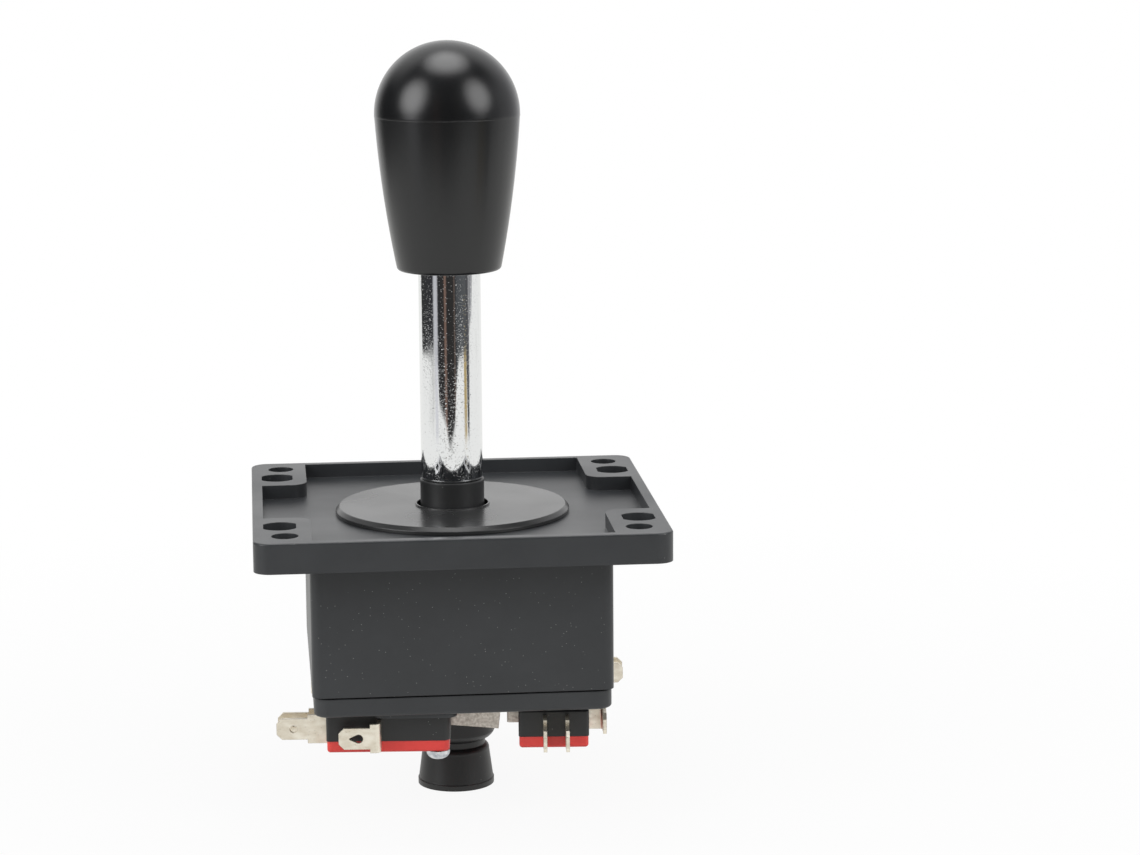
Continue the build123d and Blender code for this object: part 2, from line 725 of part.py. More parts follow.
with BuildPart() as switch_com_terminal:
    with BuildSketch(Plane.XY.offset(tab_z - tab_root_h / 2)):
        with BuildLine():
            FilletPolyline(
                (com_x, switch_outer),
                (com_x, switch_outer - com_stand + tab_t / 2),
                (com_x - com_len, switch_outer - com_stand + tab_t / 2),
                radius=com_bend_r,
            )
        trace(line_width=tab_t)
    extrude(amount=tab_root_h)
    with BuildSketch(Plane.XZ.offset(-switch_outer)) as com_outline:
        with Locations((com_x - tab_t, tab_z)):
            Rectangle(3 * tab_t, tab_root_h)
        with Locations((com_x - com_len / 2, tab_z)):
            Rectangle(com_len, tab_h)
        chamfer(com_outline.vertices().group_by(Axis.X)[0], tab_tip)
    extrude(amount=com_stand + tab_t, mode=Mode.INTERSECT)
    with BuildSketch(Plane.XZ.offset(-switch_outer)):
        with Locations((com_x - com_hole_in, tab_z)):
            Circle(com_hole_d / 2)
        with Locations((com_x - com_hole_in - com_hole_point, tab_z)):
            Circle(com_hole_tip_r)
        make_hull()
    extrude(amount=com_stand + tab_t, mode=Mode.SUBTRACT)
    with BuildSketch(Plane.XZ.offset(-switch_outer)):
        with Locations((com_x, tab_z)):
            Rectangle(tab_t, tab_tongue_h)
    extrude(amount=-tab_tongue)

end_terminals = []
for tab_y in end_tab_ys:
    with BuildPart() as switch_end_terminal:
        with BuildSketch(Plane.XZ.offset(-tab_y - tab_t / 2)):
            with Locations((switch_left - tab_root_len / 2, tab_z)):
                Rectangle(tab_root_len, tab_root_h)
            with Locations((switch_left - tab_len / 2, tab_z)):
                Rectangle(tab_len, tab_h)
            with Locations((switch_left + tab_tongue / 2, tab_z)):
                Rectangle(tab_tongue, tab_tongue_h)
            with Locations((switch_left - tab_len + tab_hole_in, tab_z)):
                Circle(tab_hole_d / 2, mode=Mode.SUBTRACT)
        extrude(amount=tab_t)
        chamfer(switch_end_terminal.edges().filter_by(Axis.Y).group_by(Axis.X)[0], tab_tip)
    end_terminals.append(switch_end_terminal)

for side, turn in zip(sides, turns):
    for stem, block in [
        ("switch_case", switch_case),
        ("switch_cover", switch_cover),
        ("switch_plunger", switch_plunger),
        ("switch_lever", switch_lever),
        ("com_terminal", switch_com_terminal),
        ("nc_terminal", end_terminals[0]),
        ("no_terminal", end_terminals[1]),
    ]:
        piece = block.part.rotate(switch_axis, -switch_turn).rotate(Axis.Z, turn)
        piece.label = stem + "_" + side
        export_step(piece, "parts/" + piece.label + ".step")

# Switch screws: a pan-head screw up through each switch into the base plate
with BuildPart() as switch_screws:
    for turn in turns:
        with BuildSketch(Plane.XY.offset(switch_bottom).rotated((0, 0, turn))):
            with Locations(screw_point):
                Circle(screw_d / 2)
        extrude(amount=switch_top - switch_bottom + screw_grip)
        with BuildSketch(Plane.XY.offset(switch_bottom).rotated((0, 0, turn))):
            with Locations(screw_point):
                Circle(screw_head_d / 2)
        extrude(amount=-screw_head_h)
    head_rims = switch_screws.faces().group_by(Axis.Z)[0].edges()
    fillet(head_rims, screw_head_r)
switch_screws.part.label = "switch_screws"
export_step(switch_screws.part, "parts/switch_screws.step")

# Base screws: countersunk screws up through the base plate into the body's bosses
sink = (base_screw_head_d - base_screw_d) / 2
with BuildPart() as base_screws:
    with BuildSketch(Plane.XY.offset(base_bottom)):
        with Locations(*base_screw_points):
            Circle(base_screw_d / 2)
    extrude(amount=base_t + base_screw_reach)
    for x, y in base_screw_points:
        with Locations((x, y, base_bottom + sink / 2)):
            Cone(base_screw_head_d / 2, base_screw_d / 2, sink)
base_screws.part.label = "base_screws"
export_step(base_screws.part, "parts/base_screws.step")
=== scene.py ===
"""Looks of the arcade joystick lever: finishes, screw heads, mould flash, studio light and camera.

Metres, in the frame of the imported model: +Z up, the plate's top face at z = 0, the viewer on the -Y side.
"""
import json
from math import cos, pi, radians, sin

import bmesh
import bpy
from mathutils import Matrix, Vector, noise

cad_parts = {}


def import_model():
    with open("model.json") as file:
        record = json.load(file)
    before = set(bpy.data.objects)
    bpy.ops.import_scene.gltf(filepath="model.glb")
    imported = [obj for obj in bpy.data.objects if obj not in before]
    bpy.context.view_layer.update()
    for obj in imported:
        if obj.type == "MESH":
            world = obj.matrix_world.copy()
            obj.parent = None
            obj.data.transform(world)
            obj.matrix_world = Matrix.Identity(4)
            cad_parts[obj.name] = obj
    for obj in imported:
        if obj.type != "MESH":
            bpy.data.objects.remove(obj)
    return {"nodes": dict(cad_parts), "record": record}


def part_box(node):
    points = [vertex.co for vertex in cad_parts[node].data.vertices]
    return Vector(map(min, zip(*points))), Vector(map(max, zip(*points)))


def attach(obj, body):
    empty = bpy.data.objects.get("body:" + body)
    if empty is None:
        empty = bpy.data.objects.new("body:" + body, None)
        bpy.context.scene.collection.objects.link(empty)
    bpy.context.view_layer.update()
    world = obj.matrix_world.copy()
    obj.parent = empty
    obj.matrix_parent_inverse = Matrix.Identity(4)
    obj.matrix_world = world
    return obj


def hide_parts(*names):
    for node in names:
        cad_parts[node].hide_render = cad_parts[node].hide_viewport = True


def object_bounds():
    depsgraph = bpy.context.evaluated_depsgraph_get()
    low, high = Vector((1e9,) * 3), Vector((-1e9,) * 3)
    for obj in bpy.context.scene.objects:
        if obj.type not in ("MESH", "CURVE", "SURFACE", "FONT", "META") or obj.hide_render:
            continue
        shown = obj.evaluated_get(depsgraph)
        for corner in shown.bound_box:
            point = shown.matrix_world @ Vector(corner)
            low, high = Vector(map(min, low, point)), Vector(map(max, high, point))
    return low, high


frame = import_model()
cad_box = [list(corner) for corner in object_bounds()]

MM = 0.001


def rgb(red, green, blue):
    return (red, green, blue, 1.0)


def grey(level):
    return rgb(level, level, level)


# Camera, fitted to the photograph taken as 1140 x 855 pixels
PHOTO_W = 1140.0
FOCAL_PX = 3305.29
SENSOR_MM = 36.0
CAMERA_AT = Vector((-44.369, -745.493, 156.287)) * MM
PITCH = 0.18573
YAW = 0.09593
ROLL = 0.00707

# Soft boxes by direction from the object, size in metres and radiance, and the two lamps that make up each
# box by name, share of its size, share of its radiance and share of its distance
LIGHT_REACH = 1.15
LIGHT_AIM = Vector((0.0, 0.0, 0.02))
SOFT_BOXES = [
    ("left_box", (-0.80, -0.40, 0.45), (0.95, 1.15), 4.3),
    ("right_box", (0.69, -0.53, 0.49), (0.86, 1.1), 3.8),
    ("top_box", (0.0, 0.05, 1.0), (1.0, 1.0), 4.4),
]
LAMPS = [
    ("halo", 1.0, 0.52, 1.0),
    ("core", 0.62, 0.5, 0.97),
]

# Grey fill light, and the upper part of the room in reflections: dark in front, pale behind
AMBIENT = 0.54
ROOM_DARK = 0.03
BACKDROP = 0.95
UPPER_ROOM_Z = (0.35, 0.75)
BACKDROP_Y = (0.15, 0.5)

# Table: its white share to the camera over the distance, its own grey, and its gloss in reflections
FLOOR_WHITE = 0.93
FLOOR_FADE = (0.1, 0.3)
FLOOR_DROP = 0.2 * MM
FLOOR_HALF = 5.0
FLOOR_BACK = 6.0
TABLE_MATTE = 0.5
TABLE_WHITE = rgb(0.93, 0.93, 0.91)
STRIPE_FADE = (0.438, 0.456)
EDGE_BLUR = 0.01

# Reflected room as (bearing from the viewer's side in degrees, colour)
ROOM = [
    (-180, grey(1.1)),
    (-160, grey(1.1)),
    (-148, grey(0.8)),
    (-138, grey(0.3)),
    (-130, grey(0.04)),
    (-70, rgb(0.035, 0.035, 0.04)),
    (-64, rgb(0.55, 0.55, 0.58)),
    (-53, rgb(0.55, 0.55, 0.58)),
    (-48, rgb(0.03, 0.03, 0.032)),
    (-26, rgb(0.035, 0.033, 0.032)),
    (-23, rgb(0.22, 0.14, 0.11)),
    (-18, rgb(0.18, 0.12, 0.1)),
    (-15, grey(0.03)),
    (10, rgb(0.035, 0.033, 0.032)),
    (13, rgb(0.16, 0.12, 0.1)),
    (16, rgb(0.04, 0.04, 0.042)),
    (23, rgb(0.08, 0.085, 0.09)),
    (55, rgb(0.1, 0.105, 0.11)),
    (63, rgb(0.07, 0.07, 0.075)),
    (69, rgb(0.2, 0.2, 0.21)),
    (72, grey(0.42)),
    (75, rgb(0.16, 0.16, 0.17)),
    (79, rgb(0.45, 0.45, 0.46)),
    (83, rgb(0.3, 0.3, 0.31)),
    (91, rgb(0.55, 0.55, 0.56)),
    (120, rgb(0.6, 0.6, 0.62)),
    (150, rgb(0.95, 0.95, 0.96)),
    (162, grey(1.1)),
    (180, grey(1.1)),
]

# Gloss of the white table with the stripes that the sleeve mirrors, as (bearing, colour)
TABLE = [
    (-180, TABLE_WHITE),
    (-65, TABLE_WHITE),
    (-62, rgb(0.72, 0.72, 0.75)),
    (-53, rgb(0.72, 0.72, 0.75)),
    (-50, TABLE_WHITE),
    (46, TABLE_WHITE),
    (48, rgb(0.5, 0.38, 0.18)),
    (57, rgb(0.5, 0.38, 0.18)),
    (59, TABLE_WHITE),
    (180, TABLE_WHITE),
]

# Edge of the white table round the object as (bearing, distance in metres)
TABLE_EDGE = [
    (-180, 0.95),
    (-134, 0.9),
    (-130, 0.63),
    (-67, 0.63),
    (-51, 0.6),
    (-48, 0.52),
    (-22, 0.475),
    (-12, 0.436),
    (-4, 0.436),
    (11, 0.475),
    (18, 0.56),
    (27, 0.62),
    (58, 0.64),
    (61, 0.45),
    (68, 0.45),
    (72, 0.7),
    (83, 0.74),
    (90, 0.9),
    (180, 0.95),
]

# Noise: its own roughness, and the middle part of its values that is stretched to the whole of a tone
NOISE_ROUGH = 0.55
NOISE_BAND = (0.3, 0.7)

# Sharp edges in the finishes, by the cosine of the rounded normal's turn on a flat and on an edge
BEVEL_SAMPLES = 4
EDGE_COSINES = (0.99, 0.8)

# Flash round the grip, with its unevenness as (waves, share of its height)
SEAM_BELOW_TOP = 16.9 * MM
SEAM_W = 0.16 * MM
SEAM_PROUD = 0.045 * MM
SEAM_FOOT = 0.3
SEAM_WAVES = [(6.0, 0.6), (31.0, 0.5)]
SEAM_STEPS = 256

# Screws: shank, face, rim and recess are shares of the head's radius, and the dome is one of its height
SCREW_STEPS = 40
SHARP_ANGLE = radians(35.0)
WELD = 0.002 * MM
PAN_STEPS = 9
PAN_SHANK = 0.54
PAN_DOME = 0.8
PAN_FULLNESS = 0.75
FLAT_SHANK = 0.5
FLAT_FACE = 0.94
FLAT_RIM = 0.06
RECESS_SPAN = 0.6
RECESS_W = 0.16
RECESS_DEPTH = 0.55

# Taper of the recess, as shares of its span and width outside the head and at its floor
RECESS_MOUTH = (1.4, 1.2)
RECESS_FLOOR = (0.45, 0.7)

# Turn of the first screw and of each next one, in radians
FIRST_TURN = 0.7
NEXT_TURN = 1.1


class Graph:
    """The node tree of a material or world, with short calls for the nodes used here."""

    def __init__(self, owner):
        owner.use_nodes = True
        self.owner = owner
        self.tree = owner.node_tree
        self.bsdf = self.tree.nodes.get("Principled BSDF")
        self.coords = self.add("ShaderNodeTexCoord").outputs
        self.place = self.coords["Object"]

    def add(self, kind, **settings):
        made = self.tree.nodes.new(kind)
        for key, value in settings.items():
            setattr(made, key, value)
        return made

    def feed(self, socket, value):
        if isinstance(value, bpy.types.NodeSocket):
            self.tree.links.new(value, socket)
        else:
            socket.default_value = value

    def set(self, **values):
        for key, value in values.items():
            self.feed(self.bsdf.inputs[key.replace("_", " ")], value)

    def stretched(self, scale):
        mapping = self.add("ShaderNodeMapping")
        self.feed(mapping.inputs["Vector"], self.place)
        self.feed(mapping.inputs["Scale"], scale)
        return mapping.outputs["Vector"]

    def noise(self, scale, detail=3.0, at=None):
        made = self.add("ShaderNodeTexNoise")
        self.feed(made.inputs["Vector"], at or self.place)
        self.feed(made.inputs["Scale"], scale)
        self.feed(made.inputs["Detail"], detail)
        self.feed(made.inputs["Roughness"], NOISE_ROUGH)
        return made.outputs["Fac"]

    def span(self, value, low, high, to_low=0.0, to_high=1.0):
        made = self.add("ShaderNodeMapRange")
        self.feed(made.inputs["Value"], value)
        self.feed(made.inputs["From Min"], low)
        self.feed(made.inputs["From Max"], high)
        self.feed(made.inputs["To Min"], to_low)
        self.feed(made.inputs["To Max"], to_high)
        return made.outputs["Result"]

    def math(self, operation, first, second):
        made = self.add("ShaderNodeMath", operation=operation)
        self.feed(made.inputs[0], first)
        self.feed(made.inputs[1], second)
        return made.outputs[0]

    def mix(self, share, first, second):
        made = self.add("ShaderNodeMix", data_type="RGBA")
        self.feed(made.inputs["Factor"], share)
        self.feed(made.inputs[6], first)
        self.feed(made.inputs[7], second)
        return made.outputs[2]

    def specks(self, scale, size, kept):
        """1 in small round specks, on the share of the cells that is kept."""
        cells = self.add("ShaderNodeTexVoronoi")
        self.feed(cells.inputs["Vector"], self.place)
        self.feed(cells.inputs["Scale"], scale)
        chosen = self.math("GREATER_THAN", cells.outputs["Color"], 1.0 - kept)
        return self.math("MULTIPLY", self.span(cells.outputs["Distance"], size, 0.5 * size), chosen)

    def bump(self, height, strength, depth, under=None):
        made = self.add("ShaderNodeBump")
        self.feed(made.inputs["Height"], height)
        self.feed(made.inputs["Strength"], strength)
        self.feed(made.inputs["Distance"], depth)
        if under:
            self.feed(made.inputs["Normal"], under)
        return made.outputs["Normal"]

    def bearing(self, axes):
        """Bearing of a direction round the Z axis, -180 to 180 degrees as 0 to 1, the viewer at 0.5."""
        turn = self.math("ARCTAN2", axes["X"], self.math("MULTIPLY", axes["Y"], -1.0))
        return self.span(turn, -pi, pi)

    def ramp(self, value, stops):
        """Colour between (bearing in degrees, colour) stops."""
        made = self.add("ShaderNodeValToRGB")
        self.feed(made.inputs["Fac"], value)
        marks = made.color_ramp.elements
        while len(marks) < len(stops):
            marks.new(0.5)
        for mark, (angle, colour) in zip(marks, stops):
            mark.position = 0.5 + angle / 360.0
            mark.color = colour
        return made.outputs["Color"]

    def round_edges(self, radius):
        made = self.add("ShaderNodeBevel", samples=BEVEL_SAMPLES)
        self.feed(made.inputs["Radius"], radius)
        return made.outputs["Normal"]

    def edges(self, radius):
        """1 along sharp edges, 0 on the flats."""
        turned = self.add("ShaderNodeVectorMath", operation="DOT_PRODUCT")
        self.feed(turned.inputs[0], self.round_edges(radius))
        self.feed(turned.inputs[1], self.add("ShaderNodeNewGeometry").outputs["True Normal"])
        return self.span(turned.outputs["Value"], *EDGE_COSINES)


def moulded_plastic(name, dark, light, roughness, grain, dust):
    """Moulded plastic: faint mottling, fine grain, rounded edges and a few dust specks."""
    g = Graph(bpy.data.materials.new(name))
    mottle = g.span(g.noise(70.0, detail=5.0), *NOISE_BAND)
    colour = g.mix(mottle, dark, light)
    speck = g.specks(900.0, size=0.085, kept=dust)
    colour = g.mix(g.math("MULTIPLY", speck, 0.65), colour, rgb(0.42, 0.42, 0.4))
    haze = g.span(g.noise(35.0), *NOISE_BAND, to_low=roughness - 0.05, to_high=roughness + 0.06)
    fine = g.noise(7000.0, detail=2.0)
    normal = g.bump(fine, strength=grain, depth=0.03 * MM, under=g.round_edges(0.3 * MM))
    g.set(Base_Color=colour, Roughness=haze, Normal=normal)
    return g.owner


def black_gloss():
    """Grip: near-black satin gloss with a faint ripple and a few specks."""
    g = Graph(bpy.data.materials.new("black_gloss"))
    mottle = g.span(g.noise(60.0, detail=4.0), *NOISE_BAND)
    colour = g.mix(mottle, rgb(0.0046, 0.0049, 0.0054), rgb(0.0066, 0.007, 0.0076))
    speck = g.specks(180.0, size=0.03, kept=0.15)
    colour = g.mix(g.math("MULTIPLY", speck, 0.35), colour, grey(0.25))
    haze = g.span(g.noise(45.0, detail=4.0), *NOISE_BAND, to_low=0.23, to_high=0.27)
    normal = g.bump(g.noise(900.0, detail=2.0), strength=0.08, depth=0.03 * MM)
    g.set(Base_Color=colour, Roughness=haze, Specular_IOR_Level=0.58, Normal=normal)
    return g.owner


def chrome_sleeve():
    """Bright plating with drawn waviness, pits, a few rubbed streaks and dust."""
    g = Graph(bpy.data.materials.new("chrome_sleeve"))
    draw = g.noise(1.0, at=g.stretched((420.0, 420.0, 12.0)))
    pit = g.specks(900.0, size=0.22, kept=0.25)
    grit = g.span(g.noise(2600.0, detail=2.0), 0.58, 0.72)
    normal = g.bump(draw, strength=0.1, depth=0.05 * MM)
    normal = g.bump(grit, strength=0.12, depth=0.03 * MM, under=normal)
    normal = g.bump(pit, strength=0.25, depth=0.03 * MM, under=normal)
    dull = g.span(g.noise(1.0, detail=4.0, at=g.stretched((300.0, 300.0, 40.0))), 0.6, 0.75)
    colour = g.mix(g.math("MULTIPLY", dull, 0.3), rgb(0.83, 0.84, 0.85), grey(0.55))
    dust = g.specks(1700.0, size=0.17, kept=0.75)
    colour = g.mix(dust, colour, rgb(0.5, 0.5, 0.49))
    rubbed = g.span(dull, 0.0, 1.0, to_low=0.035, to_high=0.16)
    haze = g.math("MAXIMUM", rubbed, g.math("MULTIPLY", dust, 0.6))
    metal = g.span(dust, 0.0, 1.0, to_low=1.0, to_high=0.0)
    g.set(Base_Color=colour, Metallic=metal, Roughness=haze, Normal=normal)
    return g.owner


def worked_metal(name, pale, dark, roughness, streak, scratch):
    """Stamped or drawn metal: streaked tone, pits, painted shade along the sharp edges, uneven polish and
    fine scratches.
    """
    g = Graph(bpy.data.materials.new(name))
    tone = g.noise(1.0, detail=4.0, at=g.stretched(streak))
    stain = g.span(g.noise(260.0, detail=5.0), 0.42, 0.7)
    colour = g.mix(g.span(tone, *NOISE_BAND), pale, dark)
    colour = g.mix(g.math("MULTIPLY", stain, 0.35), colour, dark)
    pits = g.math("MULTIPLY", g.specks(1500.0, size=0.16, kept=0.45), 0.5)
    # Dark pits, and painted shade that darkens the colour along the sharp edges
    pits_and_edge_shade = g.math("MAXIMUM", pits, g.math("MULTIPLY", g.edges(0.2 * MM), 0.7))
    colour = g.mix(pits_and_edge_shade, colour, rgb(0.2, 0.18, 0.14))
    haze = g.span(tone, *NOISE_BAND, to_low=roughness - 0.08, to_high=roughness + 0.1)
    normal = g.bump(tone, strength=scratch, depth=0.02 * MM, under=g.round_edges(0.12 * MM))
    g.set(Base_Color=colour, Metallic=1.0, Roughness=haze, Normal=normal)
    return g.owner


def red_plastic():
    """Switch covers and plungers: mottled red that light enters a little way."""
    g = Graph(bpy.data.materials.new("red_plastic"))
    mottle = g.span(g.noise(160.0, detail=4.0), *NOISE_BAND)
    colour = g.mix(mottle, rgb(0.62, 0.037, 0.031), rgb(0.74, 0.057, 0.0475))
    speck = g.specks(500.0, size=0.05, kept=0.2)
    colour = g.mix(g.math("MULTIPLY", speck, 0.5), colour, rgb(0.8, 0.6, 0.58))
    haze = g.span(g.noise(120.0), *NOISE_BAND, to_low=0.34, to_high=0.44)
    fine = g.noise(6000.0, detail=2.0)
    normal = g.bump(fine, strength=0.1, depth=0.02 * MM, under=g.round_edges(0.2 * MM))
    g.set(Base_Color=colour, Roughness=haze, Normal=normal)
    g.set(Subsurface_Weight=0.08, Subsurface_Radius=(0.6 * MM, 0.2 * MM, 0.15 * MM))
    return g.owner


def white_nylon():
    """Pivot liner and slip ring: natural nylon."""
    g = Graph(bpy.data.materials.new("white_nylon"))
    mottle = g.span(g.noise(200.0, detail=4.0), *NOISE_BAND)
    colour = g.mix(mottle, rgb(0.68, 0.67, 0.62), rgb(0.78, 0.77, 0.73))
    haze = g.span(g.noise(150.0), *NOISE_BAND, to_low=0.38, to_high=0.5)
    normal = g.bump(g.noise(5000.0, detail=2.0), strength=0.08, depth=0.02 * MM)
    g.set(Base_Color=colour, Roughness=haze, Normal=normal)
    return g.owner


PLASTICS = {
    "charcoal_plastic": dict(
        dark=rgb(0.022, 0.0239, 0.0262),
        light=rgb(0.029, 0.0311, 0.0339),
        roughness=0.38,
        grain=0.2,
        dust=0.35,
    ),
    "black_plastic": dict(
        dark=rgb(0.0125, 0.013, 0.0135),
        light=rgb(0.018, 0.0185, 0.019),
        roughness=0.42,
        grain=0.15,
        dust=0.3,
    ),
    "deep_black": dict(
        dark=rgb(0.0088, 0.0092, 0.0096),
        light=rgb(0.0125, 0.013, 0.0134),
        roughness=0.42,
        grain=0.15,
        dust=0.3,
    ),
    "polished_black": dict(
        dark=rgb(0.019, 0.0195, 0.02),
        light=rgb(0.026, 0.0265, 0.027),
        roughness=0.24,
        grain=0.06,
        dust=0.2,
    ),
}
METALS = {
    "bright_steel": dict(
        pale=grey(0.72),
        dark=grey(0.5),
        roughness=0.26,
        streak=(600.0, 600.0, 60.0),
        scratch=0.12,
    ),
    "zinc_steel": dict(
        pale=rgb(0.86, 0.87, 0.88),
        dark=rgb(0.36, 0.39, 0.43),
        roughness=0.3,
        streak=(800.0, 800.0, 800.0),
        scratch=0.6,
    ),
    "lever_steel": dict(
        pale=rgb(0.7, 0.655, 0.6),
        dark=rgb(0.43, 0.39, 0.345),
        roughness=0.44,
        streak=(1700.0, 1700.0, 1700.0),
        scratch=0.4,
    ),
    "nickel_brass": dict(
        pale=rgb(0.95, 0.9, 0.79),
        dark=rgb(0.81, 0.74, 0.61),
        roughness=0.4,
        streak=(500.0, 500.0, 900.0),
        scratch=0.2,
    ),
}
MATERIALS = {name: moulded_plastic(name, **look) for name, look in PLASTICS.items()}
MATERIALS |= {
    "black_gloss": black_gloss(),
    "chrome_sleeve": chrome_sleeve(),
    "red_plastic": red_plastic(),
    "white_nylon": white_nylon(),
}
MATERIALS |= {name: worked_metal(name, **look) for name, look in METALS.items()}
OWN_FINISH = {"dust_washer": "polished_black", "actuator": "deep_black"}
for entry in frame["record"]["subparts"]:
    mesh = frame["nodes"][entry["node"]].data
    mesh.materials.clear()
    mesh.materials.append(MATERIALS[OWN_FINISH.get(entry["node"], entry["material_slot"])])


def new_object(name, mesh, material):
    obj = bpy.data.objects.new(name, mesh)
    bpy.context.scene.collection.objects.link(obj)
    mesh.materials.clear()
    mesh.materials.append(MATERIALS[material])
    return obj


def lathe(bm, profile, steps, wobble=None):
    """Turns a line of (radius, height) points round the Z axis, and gives its vertices turn by turn."""
    rings = []
    for k in range(steps):
        turn = 2 * pi * k / steps
        push = wobble(turn) if wobble else 0.0
        ring = []
        for radius, height in profile:
            reach = radius + push
            ring.append(bm.verts.new((reach * cos(turn), reach * sin(turn), height)))
        rings.append(ring)
    for k in range(steps):
        here = rings[k]
        after = rings[(k + 1) % steps]
        for j in range(len(profile) - 1):
            bm.faces.new((here[j], after[j], after[j + 1], here[j + 1]))
    return rings


def grip_seam():
    """Mould flash round the widest place of the grip, a little uneven."""
    low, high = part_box("bat_handle")
    radius = (high.x - low.x) / 2
    level = high.z - SEAM_BELOW_TOP
    bm = bmesh.new()
    profile = [
        (radius - SEAM_W, level - SEAM_W),
        (radius - SEAM_FOOT * SEAM_PROUD, level - 0.5 * SEAM_W),
        (radius + SEAM_PROUD, level),
        (radius - SEAM_FOOT * SEAM_PROUD, level + 0.5 * SEAM_W),
        (radius - SEAM_W, level + SEAM_W),
    ]

    def wobble(turn):
        spot = Vector((cos(turn), sin(turn), 0.0))
        return SEAM_PROUD * sum(share * noise.noise(waves * spot) for waves, share in SEAM_WAVES)

    lathe(bm, profile + profile[:1], SEAM_STEPS, wobble)
    mesh = bpy.data.meshes.new("grip_seam")
    bm.to_mesh(mesh)
    bm.free()
    for face in mesh.polygons:
        face.use_smooth = True
    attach(new_object("grip_seam", mesh, "black_gloss"), "stick")


def islands(node):
    """Boxes of the separate solids in a CAD node, as (lowest, highest) corners."""
    bm = bmesh.new()
    bm.from_mesh(frame["nodes"][node].data)
    bmesh.ops.remove_doubles(bm, verts=bm.verts, dist=WELD)
    boxes = []
    left = set(bm.verts)
    while left:
        group = [left.pop()]
        for vert in group:
            for edge in vert.link_edges:
                other = edge.other_vert(vert)
                if other in left:
                    left.remove(other)
                    group.append(other)
        spots = [vert.co.copy() for vert in group]
        low = Vector([min(spot[i] for spot in spots) for i in range(3)])
        high = Vector([max(spot[i] for spot in spots) for i in range(3)])
        boxes.append((low, high))
    bm.free()
    return boxes


def carved(body, cutter):
    """The mesh of body with cutter taken out of it; both objects are used up."""
    cut = body.modifiers.new("recess", "BOOLEAN")
    cut.operation = "DIFFERENCE"
    cut.solver = "EXACT"
    cut.object = cutter
    bpy.context.view_layer.update()
    mesh = bpy.data.meshes.new_from_object(body.evaluated_get(bpy.context.evaluated_depsgraph_get()))
    bpy.data.objects.remove(body)
    bpy.data.objects.remove(cutter)
    return mesh


def cross_recess(radius, bottom, depth):
    """A tapered cross that reaches as far below as above the lowest point of a screw head, as a cutter."""
    bm = bmesh.new()
    rings = []
    for height, (span, width) in ((bottom - depth, RECESS_MOUTH), (bottom + depth, RECESS_FLOOR)):
        reach = RECESS_SPAN * radius * span
        half = RECESS_W * radius * width
        arm = [(reach, -half), (reach, half), (half, half)]
        turned = [(Matrix.Rotation(pi / 2 * k, 2) @ Vector(spot)) for k in range(4) for spot in arm]
        rings.append([bm.verts.new((spot.x, spot.y, height)) for spot in turned])
    below, above = rings
    bm.faces.new(below[::-1])
    bm.faces.new(above)
    for k in range(len(below)):
        n = (k + 1) % len(below)
        bm.faces.new((below[k], below[n], above[n], above[k]))
    mesh = bpy.data.meshes.new("cross_recess")
    bm.to_mesh(mesh)
    bm.free()
    cutter = bpy.data.objects.new("cross_recess", mesh)
    bpy.context.scene.collection.objects.link(cutter)
    return cutter


def screw_solid(name, profile):
    """A turned screw from a profile that starts and ends on the axis."""
    bm = bmesh.new()
    rings = lathe(bm, profile[1:-1], SCREW_STEPS)
    for end, height in ((0, profile[0][1]), (-1, profile[-1][1])):
        tip = bm.verts.new((0.0, 0.0, height))
        for k in range(len(rings)):
            edge = (rings[k][end], rings[(k + 1) % len(rings)][end])
            bm.faces.new((tip,) + (edge if end else edge[::-1]))
    bmesh.ops.recalc_face_normals(bm, faces=bm.faces)
    mesh = bpy.data.meshes.new(name)
    bm.to_mesh(mesh)
    bm.free()
    for face in mesh.polygons:
        face.use_smooth = True
    body = bpy.data.objects.new(name, mesh)
    bpy.context.scene.collection.objects.link(body)
    return body


def pan_head(low, high, seat):
    """Profile and head radius of a pan-head screw whose head hangs from seat down to low."""
    radius = (high.x - low.x) / 2
    shank = PAN_SHANK * radius
    drop = seat - low.z
    profile = [(0.0, low.z)]
    for k in range(1, PAN_STEPS + 1):
        turn = radians(90.0 * k / PAN_STEPS)
        profile.append((radius * sin(turn) ** PAN_FULLNESS, low.z + PAN_DOME * drop * (1 - cos(turn))))
    profile += [(radius, seat), (shank, seat), (shank, high.z), (0.0, high.z)]
    return profile, radius


def flat_head(low, high):
    """Profile and head radius of a countersunk screw flush with low."""
    radius = (high.x - low.x) / 2
    shank = FLAT_SHANK * radius
    profile = [
        (0.0, low.z),
        (FLAT_FACE * radius, low.z),
        (radius, low.z + FLAT_RIM * radius),
        (shank, low.z + radius - shank),
        (shank, high.z),
        (0.0, high.z),
    ]
    return profile, radius


def screws(node, profile_of):
    """Makes every screw of a CAD node again with a cross recess in its head, as one piece."""
    joined = bmesh.new()
    for k, (low, high) in enumerate(islands(node)):
        profile, radius = profile_of(low, high)
        body = screw_solid("screw", profile)
        mesh = carved(body, cross_recess(radius, low.z, RECESS_DEPTH * radius))
        centre = (low + high) / 2
        spin = Matrix.Rotation(FIRST_TURN + NEXT_TURN * k, 4, "Z")
        mesh.transform(Matrix.Translation((centre.x, centre.y, 0.0)) @ spin)
        joined.from_mesh(mesh)
    mesh = bpy.data.meshes.new(node + "_detail")
    joined.to_mesh(mesh)
    joined.free()
    piece = new_object(node + "_detail", mesh, "zinc_steel")
    mesh.set_sharp_from_angle(angle=SHARP_ANGLE)
    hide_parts(node)
    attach(piece, "housing")


grip_seam()
cover_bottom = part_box("switch_cover_front")[0].z
screws("switch_screws", lambda low, high: pan_head(low, high, cover_bottom))
screws("base_screws", flat_head)


